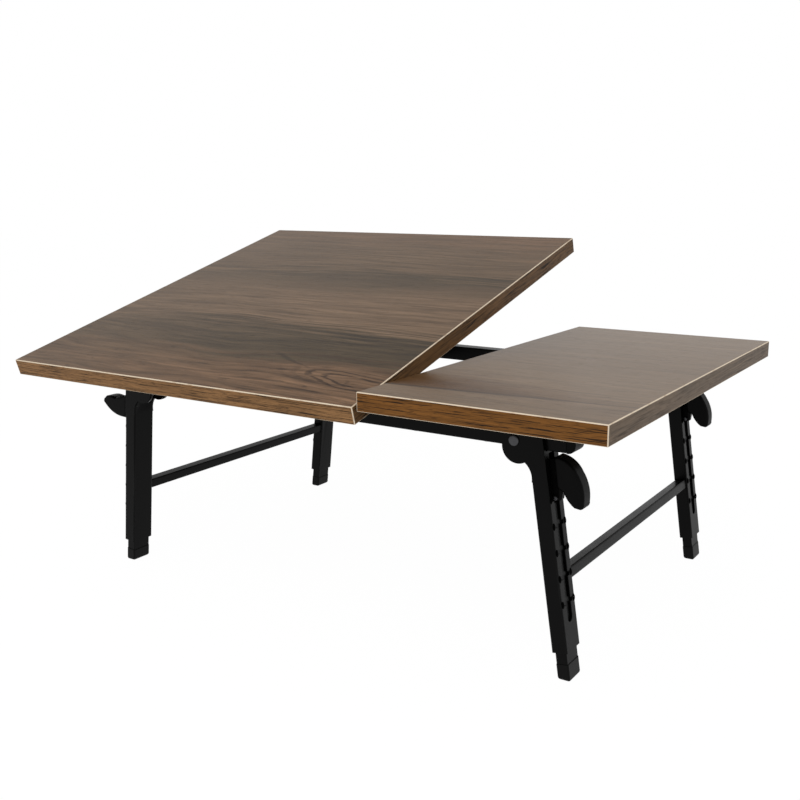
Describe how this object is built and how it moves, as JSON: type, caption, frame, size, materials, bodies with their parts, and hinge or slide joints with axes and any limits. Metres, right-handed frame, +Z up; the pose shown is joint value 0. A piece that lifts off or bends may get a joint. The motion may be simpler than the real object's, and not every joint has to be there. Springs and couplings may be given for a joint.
{
  "type": "laptop table",
  "caption": "Low folding laptop table with a tilting walnut board beside a fixed side board, on a black tubular frame with splayed telescopic legs and locking levers.",
  "frame": {"origin": "on the floor, under the middle of the outer box", "axes": "+X to the fixed side board, +Y to the back, +Z up"},
  "size_m": [0.6, 0.4036, 0.3072],
  "materials": {
    "walnut_laminate": "satin",
    "walnut_edge_band": "satin",
    "black_steel": "satin",
    "black_plastic": "matte",
    "black_rubber": "matte",
    "dark_fastener": "satin",
    "zinc_steel": "satin"
  },
  "bodies": {
    "frame": {"front_rail": "black_steel", "rear_rail": "black_steel", "rail_end_plugs": "black_plastic", "cross_member_left": "black_steel", "cross_member_right": "black_steel", "cross_member_fixed_side": "black_steel", "fixed_board": "walnut_laminate", "fixed_board_edge_bands": "walnut_edge_band", "board_spacers": "black_plastic", "board_screws": "dark_fastener", "hinge_rail_leaves": "zinc_steel", "hinge_pins": "dark_fastener", "hinge_rail_screws": "dark_fastener", "stay_guide_left": "black_plastic", "stay_guide_right": "black_plastic", "stay_guide_screws": "dark_fastener", "rest_pads": "black_rubber", "left_pivot_bolts": "dark_fastener", "left_pivot_nuts": "dark_fastener", "right_pivot_bolts": "dark_fastener", "right_pivot_nuts": "dark_fastener", "pivot_bushes": "black_plastic"},
    "tilting_top": {"tilting_board": "walnut_laminate", "tilting_board_edge_bands": "walnut_edge_band", "hinge_board_leaves": "zinc_steel", "hinge_board_screws": "dark_fastener", "tilt_stay_left": "zinc_steel", "tilt_stay_right": "zinc_steel", "stay_screws": "dark_fastener"},
    "left_legs": {"left_front_sleeve": "black_steel", "left_rear_sleeve": "black_steel", "left_cross_bar": "black_steel"},
    "right_legs": {"right_front_sleeve": "black_steel", "right_rear_sleeve": "black_steel", "right_cross_bar": "black_steel"},
    "left_front_slider": {"left_front_inner_leg": "black_steel", "left_front_foot_cap": "black_rubber", "left_front_lever_pin": "dark_fastener"},
    "left_front_lock_lever": {"left_front_lever": "black_plastic", "left_front_lock_pin": "dark_fastener"},
    "left_rear_slider": {"left_rear_inner_leg": "black_steel", "left_rear_foot_cap": "black_rubber", "left_rear_lever_pin": "dark_fastener"},
    "left_rear_lock_lever": {"left_rear_lever": "black_plastic", "left_rear_lock_pin": "dark_fastener"},
    "right_front_slider": {"right_front_inner_leg": "black_steel", "right_front_foot_cap": "black_rubber", "right_front_lever_pin": "dark_fastener"},
    "right_front_lock_lever": {"right_front_lever": "black_plastic", "right_front_lock_pin": "dark_fastener"},
    "right_rear_slider": {"right_rear_inner_leg": "black_steel", "right_rear_foot_cap": "black_rubber", "right_rear_lever_pin": "dark_fastener"},
    "right_rear_lock_lever": {"right_rear_lever": "black_plastic", "right_rear_lock_pin": "dark_fastener"}
  },
  "joints": [
    {"name": "top_tilt", "type": "hinge", "parent": "frame", "child": "tilting_top", "pos_m": [0, -0.15774, 0.19425], "axis": [1, 0, 0], "range_deg": [-15.3, 14.7]},
    {"name": "left_leg_fold", "type": "hinge", "parent": "frame", "child": "left_legs", "pos_m": [-0.18, 0, 0.181], "axis": [0, -1, 0], "range_deg": [0, 84.8]},
    {"name": "right_leg_fold", "type": "hinge", "parent": "frame", "child": "right_legs", "pos_m": [0.2095, 0, 0.181], "axis": [0, 1, 0], "range_deg": [0, 98.5]},
    {"name": "left_front_leg_slide", "type": "slide", "parent": "left_legs", "child": "left_front_slider", "axis": [-0.1184, 0, -0.993], "range_m": [0, 0.08]},
    {"name": "left_front_lever_turn", "type": "hinge", "parent": "left_front_slider", "child": "left_front_lock_lever", "pos_m": [-0.19893, -0.14324, 0.16412], "axis": [0, 1, 0], "range_deg": [-6, 14]},
    {"name": "left_rear_leg_slide", "type": "slide", "parent": "left_legs", "child": "left_rear_slider", "axis": [-0.1184, 0, -0.993], "range_m": [0, 0.08]},
    {"name": "left_rear_lever_turn", "type": "hinge", "parent": "left_rear_slider", "child": "left_rear_lock_lever", "pos_m": [-0.19893, 0.14676, 0.16412], "axis": [0, 1, 0], "range_deg": [-6, 14]},
    {"name": "right_front_leg_slide", "type": "slide", "parent": "right_legs", "child": "right_front_slider", "axis": [0.1478, 0, -0.989], "range_m": [0, 0.08]},
    {"name": "right_front_lever_turn", "type": "hinge", "parent": "right_front_slider", "child": "right_front_lock_lever", "pos_m": [0.22892, -0.14324, 0.16469], "axis": [0, -1, 0], "range_deg": [-6, 16]},
    {"name": "right_rear_leg_slide", "type": "slide", "parent": "right_legs", "child": "right_rear_slider", "axis": [0.1478, 0, -0.989], "range_m": [0, 0.08]},
    {"name": "right_rear_lever_turn", "type": "hinge", "parent": "right_rear_slider", "child": "right_rear_lock_lever", "pos_m": [0.22892, 0.14676, 0.16469], "axis": [0, -1, 0], "range_deg": [-6, 16]}
  ]
}
